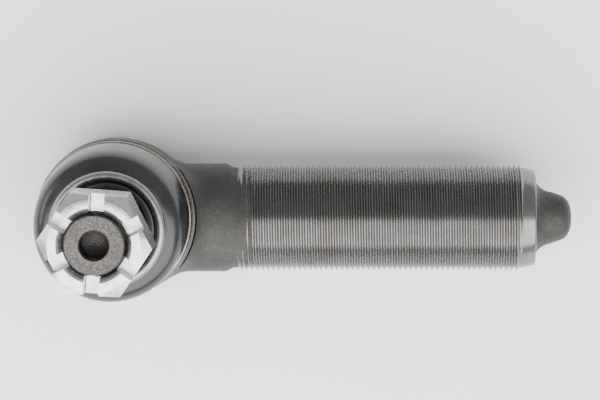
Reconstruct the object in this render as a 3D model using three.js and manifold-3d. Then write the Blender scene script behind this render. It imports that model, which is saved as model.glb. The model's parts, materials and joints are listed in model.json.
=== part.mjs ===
// Tie rod end with a forged M30 x 1.5 shank and a leaning ball stud.
//
// Millimetres, +Z up. The origin is the middle of the closing cover's outer face, on the eye's axis.
// +X runs along the shank to its nose, and +Z runs up through the ball to the stud's end.
// Heights called "above the ball" are counted from the ball's centre.

import * as THREE from 'three';
import { mergeVertices } from 'three/addons/utils/BufferGeometryUtils.js';
import Module from 'manifold-3d';

// ---------- Driving dimensions ----------

// Running and seating clearances between separate pieces.
const PLAY = 0.3;
// How far a cutting solid runs past the metal it cuts, and how far joined solids sink together.
const OVERSHOOT = 1;
const JOIN_OVERLAP = 0.05;

// Forged eye and its neck.
const EYE_DIAMETER = 45.7;
const BALL_HEIGHT = 22;
const RIM_RECESS = 0.4;
const SHOULDER_ABOVE_BALL = 9;
const EYE_TOP_ABOVE_BALL = 14;
const EYE_TOP_CHAMFER = 0.6;
const NECK_WIDTH = 30.9;
const NECK_HEIGHT = 25.4;
const NECK_FILLET = 12;
const NECK_END = 31.1;
const NECK_RAMP_START = 32.3;
const NECK_RAMP_END = 43.4;
const NECK_ROWS = 11;
const NECK_UNDERSIDE_FILLET = 6;

// Threaded shank and the forged nose on its end.
const THREAD_DIAMETER = 30;
const THREAD_CHAMFER = 0.8;
const BLANK_ALLOWANCE = 1;
const RUNOUT_DIAMETER = 28.6;
const RUNOUT_CHAMFER = 2;
const THREAD_START = 35.6;
const SHANK_END = 118.7;
const LEAD_LENGTH = 4;
const LEAD_END_DIAMETER = 26.2;
const LEAD_EDGE = 0.3;
const NOSE_LENGTH = 10.4;
const NOSE_ROOT_RADIUS = 11.3;
const NOSE_WAIST_RADIUS = 7.6;
const NOSE_SHOULDER_RADIUS = 6.1;

// Ball stud.
const BALL_DIAMETER = 30;
const BALL_FLAT_RADIUS = 6.3;
const STUD_NECK_RADIUS = 8.5;
const STUD_NECK_TOP = 19.5;
const CONE_START = 23;
const CONE_RADIUS = 10.9;
const CONE_TAPER = 1 / 8;
const STUD_THREAD_RADIUS = 8.5;
const STUD_THREAD_RELIEF = 0.5;
const STUD_RELIEF_LENGTH = 0.6;
const STUD_END = 62;
const STUD_CHAMFER = 0.4;
const STUD_THREAD_BELOW_NUT = 2.4;
const CENTRE_HOLE_RADIUS = 3.9;
const CENTRE_HOLE_DEPTH = 6;
const DRILL_POINT_DEGREES = 118;
const PIN_HOLE_RADIUS = 2.25;
const PIN_HOLE_ABOVE_FLOOR = 0.2;

// How far the stud leans in its socket, and which way, counted from +X towards +Y.
const LEAN_DEGREES = 5.1;
const LEAN_TOWARDS_DEGREES = -110;

// Castle nut.
const NUT_ACROSS_FLATS = 27;
const NUT_HEIGHT = 15;
const NUT_STANDS_PROUD = 0.4;
const NUT_SLOT_WIDTH = 4.4;
const NUT_SLOT_DEPTH = 5.5;
const NUT_TURN_DEGREES = -4;
const NUT_CROWN_CORNER = 0.9;
const NUT_CROWN_DROP = 2;
const NUT_BASE_CORNER = 0.4;
const NUT_BASE_DROP = 0.8;
const NUT_BASE_SINK = 1;
const NUT_CORNER_CLEAR = 0.2;
const NUT_COUNTERSINK_RADIUS = 10.4;

// Plastic ball seats.
const SEAT_WALL = 2;
const SEAT_SPLIT_BELOW_BALL = 0.5;
const SEAT_MOUTH_ABOVE_BALL = 7.2;
const SEAT_FLOOR = 1.5;
const SEAT_HOLE_RADIUS = 6.8;
const SEAT_BEVEL_WIDTH = 3;
const SEAT_BEVEL_HEIGHT = 4;
const SEAT_CONE_EASE = 0.1;

// Bore of the eye and the mouth that the stud leaves it through.
const BORE_TOP_ABOVE_BALL = 3.2;
const MOUTH_LIP = 1.1;
const MOUTH_ABOVE_BALL = 8.6;
const MOUTH_FLARE = 2.1;

// Closing cover, its seal ring and the preload spring.
const COVER_RADIUS = 19.4;
const COVER_THICKNESS = 2.4;
const COVER_BEVEL = 1.5;
const SEAL_SECTION_RADIUS = 0.6;
const SEAL_GROOVE_WIDTH = 1.4;
const SEAL_GROOVE_DEPTH = 1.5;
const SPRING_THICKNESS = 1;
const SPRING_PAST_SEAT_HOLE = 0.7;
const SPRING_INSIDE_BORE = 2.1;

// Dust boot and its two rings.
const BOOT_SEAT_RADIUS = 18.6;
const BOOT_BEAD_WALL = 1.7;
const BOOT_BULGE_RADIUS = 21.6;
const BOOT_BULGE_ABOVE_BALL = 20;
const BOOT_WALL = 2;
const BOOT_LIP_TOP = 28.4;
const BOOT_LIP_BOTTOM = 24.6;
const BOOT_LIP_EASE = 0.1;
const BASE_RING_WALL = 1;
const BASE_RING_HEIGHT = 3.3;
const BASE_RING_EDGE = 0.25;
const TURNING_PAST_RING = 1.3;
const CAP_RING_INNER_RADIUS = 13.6;
const CAP_RING_OUTER_RADIUS = 16.3;
const CAP_RING_BOTTOM = 27.2;
const CAP_RING_HEIGHT = 2.5;

// Facets round each kind of turned surface.
const HOUSING_FACETS = 48;
const PIECE_FACETS = 36;
const ARC_STEPS = 3;

// ---------- Sizes worked out from them ----------

const EYE_RADIUS = EYE_DIAMETER / 2;
const BALL_RADIUS = BALL_DIAMETER / 2;
const SOCKET_RADIUS = BALL_RADIUS + PLAY;
const SEAT_OUTER_RADIUS = SOCKET_RADIUS + SEAT_WALL;
const BORE_RADIUS = SEAT_OUTER_RADIUS + PLAY;
const MOUTH_RADIUS = BALL_RADIUS - MOUTH_LIP;
const MOUTH_FLARE_RADIUS = MOUTH_RADIUS + MOUTH_FLARE;
const SEAT_BOTTOM_BELOW_BALL = SOCKET_RADIUS + SEAT_FLOOR;
const BLANK_RADIUS = THREAD_DIAMETER / 2 + BLANK_ALLOWANCE;
const SPRING_OUTER_RADIUS = BORE_RADIUS - SPRING_INSIDE_BORE;
const SPRING_INNER_RADIUS = SEAT_HOLE_RADIUS + SPRING_PAST_SEAT_HOLE;
const COVER_RECESS_RADIUS = COVER_RADIUS + PLAY;
const COVER_LEDGE_HEIGHT = COVER_THICKNESS + PLAY;
const BASE_RING_INNER = BOOT_SEAT_RADIUS + PLAY + BOOT_BEAD_WALL + PLAY;
const BASE_RING_OUTER = BASE_RING_INNER + BASE_RING_WALL;
const BASE_RING_TOP = SHOULDER_ABOVE_BALL + PLAY + BASE_RING_HEIGHT;
const BOOT_TURNING_RADIUS = BASE_RING_OUTER + TURNING_PAST_RING;
const NUT_TOP = STUD_END + NUT_STANDS_PROUD;
const NUT_BOTTOM = NUT_TOP - NUT_HEIGHT;
const CONE_END = NUT_BOTTOM - STUD_THREAD_BELOW_NUT;
const NUT_BORE_RADIUS = STUD_THREAD_RADIUS + PLAY;
const NUT_SLOT_FLOOR = NUT_TOP - NUT_SLOT_DEPTH;
const PIN_HOLE_HEIGHT = NUT_SLOT_FLOOR + PIN_HOLE_RADIUS + PIN_HOLE_ABOVE_FLOOR;
const LEAN = THREE.MathUtils.degToRad(LEAN_DEGREES);
const LEAN_TOWARDS = THREE.MathUtils.degToRad(LEAN_TOWARDS_DEGREES);
const TILT_AXIS = new THREE.Vector3(-Math.sin(LEAN_TOWARDS), Math.cos(LEAN_TOWARDS), 0);
const BALL_CENTRE = new THREE.Vector3(0, 0, BALL_HEIGHT);

// ---------- Solids ----------

const wasm = await Module();
wasm.setup();

// One closed skin with shared corners and its faces pointing out.
function closed(geometry) {
  geometry.deleteAttribute('normal');
  geometry.deleteAttribute('uv');
  const skin = mergeVertices(geometry, 1e-4);
  const position = skin.attributes.position;
  const corners = Array.from(skin.index.array);
  const faces = [];
  let volume = 0;
  for (let i = 0; i < corners.length; i += 3) {
    const [a, b, c] = corners.slice(i, i + 3);
    if (a === b || b === c || c === a) continue;
    faces.push(a, b, c);
    const va = new THREE.Vector3().fromBufferAttribute(position, a);
    const vb = new THREE.Vector3().fromBufferAttribute(position, b);
    const vc = new THREE.Vector3().fromBufferAttribute(position, c);
    volume += va.dot(vb.cross(vc));
  }
  if (volume < 0) faces.reverse();
  skin.setIndex(faces);
  return skin;
}

function toSolid(geometry) {
  const skin = closed(geometry);
  const vertProperties = new Float32Array(skin.attributes.position.array);
  const triVerts = new Uint32Array(skin.index.array);
  return new wasm.Manifold(new wasm.Mesh({ numProp: 3, vertProperties, triVerts }));
}

function toGeometry(solid) {
  const { vertProperties, triVerts } = solid.getMesh();
  const geometry = new THREE.BufferGeometry();
  geometry.setAttribute('position', new THREE.BufferAttribute(new Float32Array(vertProperties), 3));
  geometry.setIndex(Array.from(triVerts));
  return geometry;
}

// Turns a path of (radius, height) about the Z axis.
function turned(path, facets = PIECE_FACETS) {
  const points = path.getPoints(ARC_STEPS);
  return new THREE.LatheGeometry(points, facets).rotateX(Math.PI / 2);
}

// Turns a path of (radius, distance along X) about the shank's axis.
function turnedAlongShank(path, facets = HOUSING_FACETS) {
  return turned(path, facets).rotateY(Math.PI / 2).translate(0, 0, BALL_HEIGHT);
}

// A path through straight corners.
function outline(corners) {
  const path = new THREE.Path();
  path.moveTo(...corners[0]);
  for (const corner of corners.slice(1)) path.lineTo(...corner);
  return path;
}

function material(color, roughness, metalness) {
  return new THREE.MeshStandardMaterial({ color, roughness, metalness });
}

function piece(name, geometry, look) {
  const mesh = new THREE.Mesh(geometry, look);
  mesh.name = name;
  return mesh;
}

// ---------- Housing: eye, neck, threaded shank and nose in one forging ----------

// The eye's side is given as (how far inside the eye's radius, height above the ball).
function eyeBlank() {
  const shoulder = SHOULDER_ABOVE_BALL;
  const side = [
    [2.2, RIM_RECESS - BALL_HEIGHT],
    [1.1, RIM_RECESS - BALL_HEIGHT + 1.6],
    [0.4, -BALL_HEIGHT / 2],
    [0.1, 0],
    [0, shoulder / 2],
    [0.3, shoulder - 2],
    [0.8, shoulder - 0.9],
    [1.6, shoulder],
  ];
  return turned(outline([
    [0, RIM_RECESS],
    ...side.map(([inset, aboveBall]) => [EYE_RADIUS - inset, BALL_HEIGHT + aboveBall]),
    [BOOT_SEAT_RADIUS, BALL_HEIGHT + shoulder],
    [BOOT_SEAT_RADIUS, BALL_HEIGHT + EYE_TOP_ABOVE_BALL - EYE_TOP_CHAMFER],
    [BOOT_SEAT_RADIUS - EYE_TOP_CHAMFER, BALL_HEIGHT + EYE_TOP_ABOVE_BALL],
    [0, BALL_HEIGHT + EYE_TOP_ABOVE_BALL],
  ]), HOUSING_FACETS);
}

// Forged blank of the neck and shank: the eye's circle, a hollow fillet tangent to it and a straight
// side, as a path of (half width, distance along X).
function blankPath() {
  const half = NECK_WIDTH / 2;
  const reach = EYE_RADIUS + NECK_FILLET;
  const filletX = Math.sqrt(reach ** 2 - (half + NECK_FILLET) ** 2);
  const touchAngle = Math.asin(filletX / reach);
  const inner = EYE_RADIUS - JOIN_OVERLAP;
  const startAngle = 0.1;
  const startX = inner * Math.sin(startAngle);
  const path = outline([[0, startX], [inner * Math.cos(startAngle), startX]]);
  path.absarc(0, 0, inner, startAngle, touchAngle, false);
  path.absarc(half + NECK_FILLET, filletX, NECK_FILLET, Math.PI + touchAngle, Math.PI, true);
  for (let row = 1; row <= NECK_ROWS; row += 1) {
    path.lineTo(half, THREE.MathUtils.lerp(filletX, NECK_RAMP_END, row / NECK_ROWS));
  }
  path.lineTo(BLANK_RADIUS, NECK_RAMP_END + OVERSHOOT);
  path.lineTo(BLANK_RADIUS, SHANK_END + NOSE_LENGTH + OVERSHOOT);
  path.lineTo(0, SHANK_END + NOSE_LENGTH + OVERSHOOT);
  return path;
}

// Half height of the blank: flattened at the neck, hollowed into the eye below, round at the thread.
function blankHalfHeight(x, below) {
  const rise = THREE.MathUtils.smoothstep(x, NECK_RAMP_START, NECK_RAMP_END);
  const height = THREE.MathUtils.lerp(NECK_HEIGHT / 2, BLANK_RADIUS, rise);
  const filletEnd = EYE_RADIUS + NECK_UNDERSIDE_FILLET;
  if (!below || x > filletEnd) return height;
  const run = Math.min(filletEnd - x, NECK_UNDERSIDE_FILLET);
  return height + NECK_UNDERSIDE_FILLET - Math.sqrt(NECK_UNDERSIDE_FILLET ** 2 - run ** 2);
}

function forgedBlank() {
  const geometry = turnedAlongShank(blankPath());
  const position = geometry.attributes.position;
  for (let i = 0; i < position.count; i += 1) {
    const x = position.getX(i);
    const y = position.getY(i);
    const up = position.getZ(i) - BALL_HEIGHT;
    const radius = Math.hypot(y, up);
    if (radius < 1e-6) continue;
    position.setZ(i, BALL_HEIGHT + (up * blankHalfHeight(x, up < 0)) / radius);
  }
  return toSolid(geometry);
}

// Everything that the lathe leaves of the shank; it clears the neck and the eye.
function turnedShank() {
  const half = NECK_WIDTH / 2;
  const runout = RUNOUT_DIAMETER / 2;
  const thread = THREAD_DIAMETER / 2;
  const lead = LEAD_END_DIAMETER / 2;
  const clearOfNeck = 3;
  const chamferSlope = (half - runout) / RUNOUT_CHAMFER;
  const chamferStart = NECK_END - clearOfNeck / chamferSlope;
  const path = outline([
    [0, 0],
    [EYE_DIAMETER, 0],
    [EYE_DIAMETER, chamferStart],
    [half + clearOfNeck, chamferStart],
    [runout, NECK_END + RUNOUT_CHAMFER],
    [runout, THREAD_START + runout - thread],
    [thread, THREAD_START],
    [thread, SHANK_END - LEAD_LENGTH - THREAD_CHAMFER],
    [thread - THREAD_CHAMFER, SHANK_END - LEAD_LENGTH],
    [lead, SHANK_END - LEAD_EDGE],
    [lead - LEAD_EDGE, SHANK_END],
    [NOSE_ROOT_RADIUS, SHANK_END],
  ]);
  addNose(path);
  return toSolid(turnedAlongShank(path));
}

// The nose runs in from its root in a hollow curve, then rounds over its shoulder to a blunt tip.
function addNose(path) {
  const at = (share) => SHANK_END + share * NOSE_LENGTH;
  path.bezierCurveTo(
    NOSE_WAIST_RADIUS + 1.9, at(0.03),
    NOSE_WAIST_RADIUS + 0.7, at(0.13),
    NOSE_WAIST_RADIUS, at(0.33),
  );
  path.bezierCurveTo(
    NOSE_WAIST_RADIUS - 0.6, at(0.5),
    NOSE_SHOULDER_RADIUS + 0.6, at(0.66),
    NOSE_SHOULDER_RADIUS, at(0.76),
  );
  path.bezierCurveTo(NOSE_SHOULDER_RADIUS - 1, at(0.92), NOSE_SHOULDER_RADIUS - 2.7, at(1), 0, at(1));
}

// Clears the shoulder and the seat that the boot's base ring sits on.
function bootTurning() {
  const shoulder = BALL_HEIGHT + SHOULDER_ABOVE_BALL;
  const top = BALL_HEIGHT + NECK_HEIGHT;
  return toSolid(turned(outline([
    [BOOT_SEAT_RADIUS, shoulder],
    [BOOT_TURNING_RADIUS, shoulder],
    [BOOT_TURNING_RADIUS + 0.4, top],
    [BOOT_SEAT_RADIUS, top],
    [BOOT_SEAT_RADIUS, shoulder],
  ]), HOUSING_FACETS));
}

// The socket's bore, closed by the cover below and narrowed to the mouth above.
function socketCavity() {
  const sealRadius = BORE_RADIUS + SEAL_GROOVE_WIDTH;
  const rimRadius = COVER_RADIUS - COVER_BEVEL + RIM_RECESS + 2 * PLAY;
  return toSolid(turned(outline([
    [0, -OVERSHOOT],
    [rimRadius, -OVERSHOOT],
    [rimRadius, RIM_RECESS],
    [COVER_RECESS_RADIUS, COVER_THICKNESS / 2],
    [COVER_RECESS_RADIUS, COVER_LEDGE_HEIGHT],
    [sealRadius, COVER_LEDGE_HEIGHT],
    [sealRadius, COVER_LEDGE_HEIGHT + SEAL_GROOVE_DEPTH],
    [BORE_RADIUS, COVER_LEDGE_HEIGHT + SEAL_GROOVE_DEPTH],
    [BORE_RADIUS, BALL_HEIGHT + BORE_TOP_ABOVE_BALL],
    [MOUTH_RADIUS, BALL_HEIGHT + MOUTH_ABOVE_BALL],
    [MOUTH_FLARE_RADIUS, BALL_HEIGHT + EYE_TOP_ABOVE_BALL],
    [MOUTH_FLARE_RADIUS, BALL_HEIGHT + EYE_TOP_ABOVE_BALL + OVERSHOOT],
    [0, BALL_HEIGHT + EYE_TOP_ABOVE_BALL + OVERSHOOT],
  ]), HOUSING_FACETS));
}

function housingForging() {
  const shank = forgedBlank().intersect(turnedShank());
  const forging = shank.add(toSolid(eyeBlank())).subtract(bootTurning()).subtract(socketCavity());
  return piece('housing_forging', toGeometry(forging), material(0x4c4a45, 0.62, 0.75));
}

// ---------- What closes the socket from below ----------

function closingCover() {
  const geometry = turned(outline([
    [0, 0],
    [COVER_RADIUS - COVER_BEVEL, 0],
    [COVER_RADIUS, COVER_THICKNESS / 2],
    [COVER_RADIUS, COVER_THICKNESS],
    [0, COVER_THICKNESS],
  ]));
  return piece('closing_cover', closed(geometry), material(0x8d8c88, 0.42, 0.9));
}

function coverSealRing() {
  const centre = BORE_RADIUS + SEAL_GROOVE_WIDTH / 2;
  const height = COVER_LEDGE_HEIGHT + SEAL_GROOVE_DEPTH / 2;
  const geometry = new THREE.TorusGeometry(centre, SEAL_SECTION_RADIUS, 8, PIECE_FACETS);
  return piece('cover_seal_ring', closed(geometry.translate(0, 0, height)), material(0x1b1b1c, 0.7, 0));
}

// A coned spring washer: its rim stands on the cover, its inner edge lifts the lower seat.
function preloadSpring() {
  const rimBottom = COVER_THICKNESS + PLAY;
  const liftedTop = BALL_HEIGHT - SEAT_BOTTOM_BELOW_BALL - PLAY;
  const geometry = turned(outline([
    [SPRING_INNER_RADIUS, liftedTop - SPRING_THICKNESS],
    [SPRING_OUTER_RADIUS, rimBottom],
    [SPRING_OUTER_RADIUS, rimBottom + SPRING_THICKNESS],
    [SPRING_INNER_RADIUS, liftedTop],
    [SPRING_INNER_RADIUS, liftedTop - SPRING_THICKNESS],
  ]));
  return piece('preload_disc_spring', closed(geometry), material(0x6b6f74, 0.35, 0.95));
}

// ---------- Ball seats ----------

const sphereHeightAt = (radius) => Math.sqrt(SOCKET_RADIUS ** 2 - radius ** 2);

function lowerBallSeat() {
  const bottom = BALL_HEIGHT - SEAT_BOTTOM_BELOW_BALL;
  const split = BALL_HEIGHT - SEAT_SPLIT_BELOW_BALL - PLAY;
  const holeAngle = Math.asin(sphereHeightAt(SEAT_HOLE_RADIUS) / SOCKET_RADIUS);
  const splitAngle = Math.asin((BALL_HEIGHT - split) / SOCKET_RADIUS);
  const path = outline([
    [SEAT_HOLE_RADIUS, bottom],
    [SEAT_OUTER_RADIUS - SEAT_BEVEL_WIDTH, bottom],
    [SEAT_OUTER_RADIUS, bottom + SEAT_BEVEL_HEIGHT],
    [SEAT_OUTER_RADIUS, split],
  ]);
  path.lineTo(SOCKET_RADIUS * Math.cos(splitAngle), split);
  path.absarc(0, BALL_HEIGHT, SOCKET_RADIUS, -splitAngle, -holeAngle, true);
  path.lineTo(SEAT_HOLE_RADIUS, bottom);
  return piece('lower_ball_seat', closed(turned(path)), material(0xe4dfce, 0.5, 0));
}

function upperBallSeat() {
  const split = BALL_HEIGHT - SEAT_SPLIT_BELOW_BALL;
  const mouth = BALL_HEIGHT + SEAT_MOUTH_ABOVE_BALL;
  const mouthAngle = Math.asin(SEAT_MOUTH_ABOVE_BALL / SOCKET_RADIUS);
  const splitAngle = Math.asin(-SEAT_SPLIT_BELOW_BALL / SOCKET_RADIUS);
  const coneSlope = (BORE_RADIUS - MOUTH_RADIUS) / (MOUTH_ABOVE_BALL - BORE_TOP_ABOVE_BALL);
  const coneRise = SEAT_MOUTH_ABOVE_BALL - BORE_TOP_ABOVE_BALL;
  const mouthOuter = BORE_RADIUS - coneRise * coneSlope - PLAY - SEAT_CONE_EASE;
  const path = outline([
    [SOCKET_RADIUS * Math.cos(splitAngle), split],
    [SEAT_OUTER_RADIUS, split],
    [SEAT_OUTER_RADIUS, BALL_HEIGHT + BORE_TOP_ABOVE_BALL - SEAT_CONE_EASE],
    [mouthOuter, mouth],
    [SOCKET_RADIUS * Math.cos(mouthAngle), mouth],
  ]);
  path.absarc(0, BALL_HEIGHT, SOCKET_RADIUS, mouthAngle, splitAngle, true);
  return piece('upper_ball_seat', closed(turned(path)), material(0xe4dfce, 0.5, 0));
}

// ---------- Ball stud, along its own upright axis from the ball's centre ----------

const coneRadiusAt = (height) => CONE_RADIUS - ((height - CONE_START) * CONE_TAPER) / 2;

function studBlank() {
  const flatAngle = Math.acos(BALL_FLAT_RADIUS / BALL_RADIUS);
  const neckAngle = Math.acos(STUD_NECK_RADIUS / BALL_RADIUS);
  const flatHeight = -BALL_RADIUS * Math.sin(flatAngle);
  const path = outline([[0, flatHeight], [BALL_FLAT_RADIUS, flatHeight]]);
  path.absarc(0, 0, BALL_RADIUS, -flatAngle, 0, false);
  path.absarc(0, 0, BALL_RADIUS, 0, neckAngle, false);
  path.lineTo(STUD_NECK_RADIUS, STUD_NECK_TOP);
  path.quadraticCurveTo(STUD_NECK_RADIUS, CONE_START - 1, CONE_RADIUS, CONE_START);
  path.lineTo(coneRadiusAt(CONE_END), CONE_END);
  path.lineTo(STUD_THREAD_RADIUS - STUD_THREAD_RELIEF, CONE_END + STUD_RELIEF_LENGTH);
  path.lineTo(STUD_THREAD_RADIUS - STUD_THREAD_RELIEF, CONE_END + 2 * STUD_RELIEF_LENGTH);
  path.lineTo(STUD_THREAD_RADIUS, CONE_END + 2 * STUD_RELIEF_LENGTH + STUD_THREAD_RELIEF);
  path.lineTo(STUD_THREAD_RADIUS, STUD_END - STUD_CHAMFER);
  path.lineTo(STUD_THREAD_RADIUS - STUD_CHAMFER, STUD_END);
  path.lineTo(0, STUD_END);
  return toSolid(turned(path));
}

// Drilled from the end face, down to the drill's own point.
function centreHole() {
  const tip = CENTRE_HOLE_RADIUS / Math.tan(THREE.MathUtils.degToRad(DRILL_POINT_DEGREES / 2));
  return toSolid(turned(outline([
    [0, STUD_END - CENTRE_HOLE_DEPTH - tip],
    [CENTRE_HOLE_RADIUS, STUD_END - CENTRE_HOLE_DEPTH],
    [CENTRE_HOLE_RADIUS, STUD_END + OVERSHOOT],
    [0, STUD_END + OVERSHOOT],
  ]), PIECE_FACETS / 2));
}

// Drilled across the thread in line with one pair of the nut's slots.
function pinHole() {
  const geometry = new THREE.CylinderGeometry(PIN_HOLE_RADIUS, PIN_HOLE_RADIUS, 3 * STUD_THREAD_RADIUS, 16);
  geometry.rotateZ(THREE.MathUtils.degToRad(NUT_TURN_DEGREES)).translate(0, 0, PIN_HOLE_HEIGHT);
  return toSolid(geometry);
}

function ballStud() {
  const stud = studBlank().subtract(centreHole()).subtract(pinHole());
  return piece('ball_stud', toGeometry(stud), material(0x7d7872, 0.45, 0.85));
}

// ---------- Castle nut ----------

// A cone at each end takes the hexagon's corners off: a deep crown above, a washer face below.
function nutBlank() {
  const flatRadius = NUT_ACROSS_FLATS / 2;
  const cornerRadius = flatRadius / Math.cos(Math.PI / 6);
  const clear = cornerRadius + NUT_CORNER_CLEAR;
  const hexagon = new THREE.CylinderGeometry(cornerRadius, cornerRadius, NUT_HEIGHT, 6);
  hexagon.rotateX(Math.PI / 2).rotateZ(Math.PI / 2).translate(0, 0, NUT_BOTTOM + NUT_HEIGHT / 2);
  const cornersOff = turned(outline([
    [0, NUT_BOTTOM - OVERSHOOT],
    [flatRadius - NUT_BASE_CORNER, NUT_BOTTOM - OVERSHOOT],
    [flatRadius - NUT_BASE_CORNER, NUT_BOTTOM],
    [clear, NUT_BOTTOM + NUT_BASE_DROP],
    [clear, NUT_TOP - NUT_CROWN_DROP],
    [flatRadius - NUT_CROWN_CORNER, NUT_TOP],
    [flatRadius - NUT_CROWN_CORNER, NUT_TOP + OVERSHOOT],
    [0, NUT_TOP + OVERSHOOT],
  ]));
  return toSolid(hexagon).intersect(toSolid(cornersOff));
}

function nutBore() {
  const sink = NUT_COUNTERSINK_RADIUS - NUT_BORE_RADIUS;
  return toSolid(turned(outline([
    [0, NUT_BOTTOM - OVERSHOOT],
    [NUT_BORE_RADIUS + NUT_BASE_SINK, NUT_BOTTOM - OVERSHOOT],
    [NUT_BORE_RADIUS + NUT_BASE_SINK, NUT_BOTTOM],
    [NUT_BORE_RADIUS, NUT_BOTTOM + NUT_BASE_SINK],
    [NUT_BORE_RADIUS, NUT_TOP - sink],
    [NUT_COUNTERSINK_RADIUS, NUT_TOP],
    [NUT_COUNTERSINK_RADIUS, NUT_TOP + OVERSHOOT],
    [0, NUT_TOP + OVERSHOOT],
  ])));
}

// One cutter spans a pair of slots on opposite flats.
function slotPair(index) {
  const length = 2 * NUT_ACROSS_FLATS;
  const geometry = new THREE.BoxGeometry(NUT_SLOT_WIDTH, length, 2 * NUT_SLOT_DEPTH);
  geometry.rotateZ((index * Math.PI) / 3).translate(0, 0, NUT_TOP);
  return toSolid(geometry);
}

function castleNut() {
  let nut = nutBlank().subtract(nutBore());
  for (let index = 0; index < 3; index += 1) nut = nut.subtract(slotPair(index));
  const mesh = piece('castle_nut', toGeometry(nut), material(0xd4d9de, 0.24, 0.95));
  mesh.rotation.z = THREE.MathUtils.degToRad(NUT_TURN_DEGREES);
  return mesh;
}

// ---------- Dust boot and its rings ----------

function bootPath() {
  const beadInner = BOOT_SEAT_RADIUS + PLAY;
  const beadOuter = beadInner + BOOT_BEAD_WALL;
  const shoulder = SHOULDER_ABOVE_BALL + PLAY;
  const ringSeat = CAP_RING_BOTTOM - PLAY;
  const lipInner = coneRadiusAt(BOOT_LIP_BOTTOM) + PLAY + BOOT_LIP_EASE;
  const lipOuter = CAP_RING_INNER_RADIUS - PLAY;
  const inner = BOOT_BULGE_RADIUS - BOOT_WALL;
  const path = new THREE.Path();
  path.moveTo(beadInner, shoulder);
  path.lineTo(beadOuter, shoulder);
  path.lineTo(beadOuter, BASE_RING_TOP + PLAY);
  path.lineTo(BASE_RING_INNER + 0.2, BASE_RING_TOP + PLAY);
  path.quadraticCurveTo(BOOT_BULGE_RADIUS, BASE_RING_TOP + 1, BOOT_BULGE_RADIUS, BOOT_BULGE_ABOVE_BALL);
  path.bezierCurveTo(
    BOOT_BULGE_RADIUS, BOOT_BULGE_ABOVE_BALL + 4,
    CAP_RING_OUTER_RADIUS + 3.4, ringSeat - 0.7,
    CAP_RING_OUTER_RADIUS + 0.2, ringSeat,
  );
  path.lineTo(lipOuter, ringSeat);
  path.lineTo(lipOuter, BOOT_LIP_TOP);
  path.lineTo(lipInner, BOOT_LIP_TOP);
  path.lineTo(lipInner, BOOT_LIP_BOTTOM);
  path.lineTo(lipOuter - 0.6, BOOT_LIP_BOTTOM - 0.2);
  path.bezierCurveTo(
    CAP_RING_OUTER_RADIUS + 1.6, BOOT_LIP_BOTTOM - 0.4,
    inner, BOOT_BULGE_ABOVE_BALL + 3,
    inner, BOOT_BULGE_ABOVE_BALL,
  );
  path.lineTo(beadInner, EYE_TOP_ABOVE_BALL - 0.6);
  path.lineTo(beadInner, shoulder);
  return path;
}

// The boot's base stays with the eye and its lip leans with the stud; the wall shares out the rest.
function dustBoot() {
  const geometry = turned(bootPath());
  const position = geometry.attributes.position;
  for (let i = 0; i < position.count; i += 1) {
    const point = new THREE.Vector3().fromBufferAttribute(position, i);
    const share = THREE.MathUtils.smoothstep(point.z, BASE_RING_TOP, BOOT_LIP_BOTTOM);
    position.setXYZ(i, ...point.applyAxisAngle(TILT_AXIS, LEAN * share).add(BALL_CENTRE));
  }
  return piece('dust_boot', closed(geometry), material(0x1d1f23, 0.28, 0));
}

function bootBaseRing() {
  const bottom = BALL_HEIGHT + SHOULDER_ABOVE_BALL + PLAY;
  const top = BALL_HEIGHT + BASE_RING_TOP;
  const geometry = turned(outline([
    [BASE_RING_INNER, bottom],
    [BASE_RING_OUTER - BASE_RING_EDGE, bottom],
    [BASE_RING_OUTER, bottom + BASE_RING_EDGE],
    [BASE_RING_OUTER, top - BASE_RING_EDGE],
    [BASE_RING_OUTER - BASE_RING_EDGE, top],
    [BASE_RING_INNER, top],
    [BASE_RING_INNER, bottom],
  ]));
  return piece('boot_base_ring', closed(geometry), material(0xb9b0a4, 0.3, 0.95));
}

// Seated on the boot's top, with a flat underside and a rounded back.
function bootCapRing() {
  const half = (CAP_RING_OUTER_RADIUS - CAP_RING_INNER_RADIUS) / 2;
  const middle = CAP_RING_INNER_RADIUS + half;
  const spring = CAP_RING_BOTTOM + CAP_RING_HEIGHT - half;
  const path = new THREE.Path();
  path.moveTo(CAP_RING_INNER_RADIUS, CAP_RING_BOTTOM);
  path.lineTo(CAP_RING_OUTER_RADIUS, CAP_RING_BOTTOM);
  path.absarc(middle, spring, half, 0, Math.PI, false);
  path.lineTo(CAP_RING_INNER_RADIUS, CAP_RING_BOTTOM);
  return piece('boot_cap_ring', closed(turned(path)), material(0xb4b8bc, 0.34, 0.95));
}

// ---------- Assembly ----------

// What leans with the stud, tilted round the ball's centre.
function leaning(...pieces) {
  const group = new THREE.Group();
  group.position.copy(BALL_CENTRE);
  group.quaternion.setFromAxisAngle(TILT_AXIS, LEAN);
  group.add(...pieces);
  return group;
}

const tieRodEnd = new THREE.Group();
tieRodEnd.add(
  housingForging(),
  closingCover(),
  coverSealRing(),
  preloadSpring(),
  lowerBallSeat(),
  upperBallSeat(),
  bootBaseRing(),
  dustBoot(),
  leaning(bootCapRing(), ballStud(), castleNut()),
);

export default tieRodEnd;
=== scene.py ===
"""Looks of a tie rod end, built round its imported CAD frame.

Lengths are written in millimetres and turned into metres as each mesh is made. Heights called
"above the ball" are counted from the ball's centre, along the eye's axis or the stud's own.
"""

import json
import math

import bmesh
import bpy
import numpy as np
from mathutils import Matrix, Vector, noise


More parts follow.
